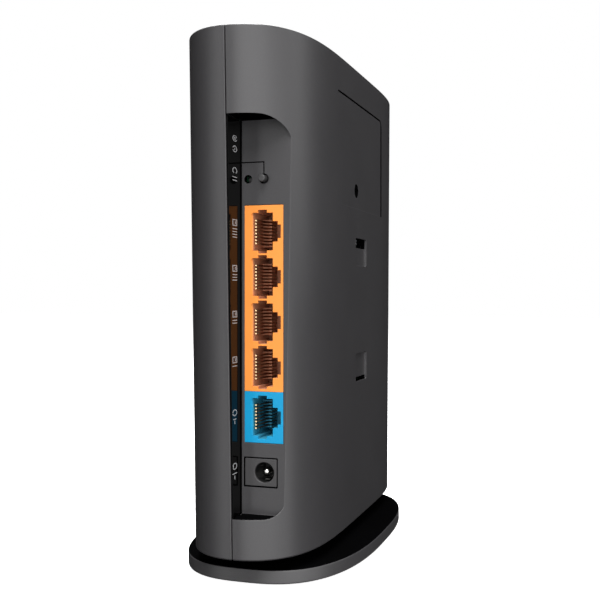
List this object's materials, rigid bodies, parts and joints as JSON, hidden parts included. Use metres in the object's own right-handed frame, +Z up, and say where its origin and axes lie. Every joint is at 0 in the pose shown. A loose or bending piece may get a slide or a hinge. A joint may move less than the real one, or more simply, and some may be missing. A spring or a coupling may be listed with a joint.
{
  "type": "wireless router",
  "caption": "Upright wireless router on an oval stand, with a two-part rounded case, a recessed column of network sockets, a power inlet and push buttons at the back.",
  "frame": {"origin": "on the standing surface, under the middle of the case", "axes": "+Z up, +Y towards the sockets at the back, -X towards the broad side with the wall-bracket pockets"},
  "size_m": [0.063, 0.1528, 0.171],
  "materials": {
    "charcoal_plastic": "satin",
    "stand_plastic": "satin",
    "gloss_black": "gloss",
    "button_grey": "satin",
    "jack_orange": "satin",
    "jack_blue": "satin",
    "inlet_grey": "satin",
    "contact_gold": "polished",
    "nickel": "polished",
    "board_green": "satin",
    "chip_black": "matte",
    "heatsink_aluminium": "satin",
    "pad_grey": "matte",
    "shield_tin": "satin",
    "steel": "satin",
    "capacitor_sleeve": "gloss",
    "lead_black": "matte",
    "rubber": "matte",
    "clear_guide": "gloss",
    "led_white": "gloss"
  },
  "bodies": {
    "stand": {"stand_base": "stand_plastic", "rubber_foot_front_left": "rubber", "rubber_foot_front_right": "rubber", "rubber_foot_back_left": "rubber", "rubber_foot_back_right": "rubber"},
    "case": {"antenna_front_lower": "board_green", "antenna_front_upper": "board_green", "antenna_lead_front_lower": "lead_black", "antenna_lead_front_upper": "lead_black", "antenna_lead_top_back": "lead_black", "antenna_lead_top_front": "lead_black", "antenna_top_back": "board_green", "antenna_top_front": "board_green", "board_screw_1": "steel", "board_screw_2": "steel", "board_screw_3": "steel", "board_screw_4": "steel", "capacitor_1": "capacitor_sleeve", "capacitor_2": "capacitor_sleeve", "case_screw": "steel", "flash_chip": "chip_black", "heatsink": "heatsink_aluminium", "lan_contacts_1": "contact_gold", "lan_contacts_2": "contact_gold", "lan_contacts_3": "contact_gold", "lan_contacts_4": "contact_gold", "lan_jack_block": "jack_orange", "lan_transformer": "chip_black", "main_board": "board_green", "memory_chip": "chip_black", "plain_case_half": "charcoal_plastic", "port_case_half": "charcoal_plastic", "port_label_strip": "gloss_black", "power_inductor": "chip_black", "power_inlet": "inlet_grey", "power_inlet_pin": "nickel", "power_inlet_spring": "nickel", "processor": "chip_black", "reset_switch": "chip_black", "status_led_1": "led_white", "status_led_2": "led_white", "status_led_3": "led_white", "status_led_4": "led_white", "status_led_5": "led_white", "status_light_guide": "clear_guide", "thermal_pad": "pad_grey", "wan_contacts": "contact_gold", "wan_jack": "jack_blue", "wan_transformer": "chip_black", "wifi_shield_lower": "shield_tin", "wifi_shield_upper": "shield_tin", "wps_switch": "chip_black"},
    "wps_button": {"wps_button": "button_grey"},
    "reset_plunger": {"reset_plunger": "button_grey"}
  },
  "joints": [
    {"name": "case_lift", "type": "slide", "parent": "stand", "child": "case", "axis": [0, 0, 1], "range_m": [0, 0.015]},
    {"name": "wps_press", "type": "slide", "parent": "case", "child": "wps_button", "axis": [0, -1, 0], "range_m": [0, 0.0003], "stiffness_N_per_m": 3000},
    {"name": "reset_press", "type": "slide", "parent": "case", "child": "reset_plunger", "axis": [0, -1, 0], "range_m": [0, 0.00025], "stiffness_N_per_m": 3000}
  ]
}
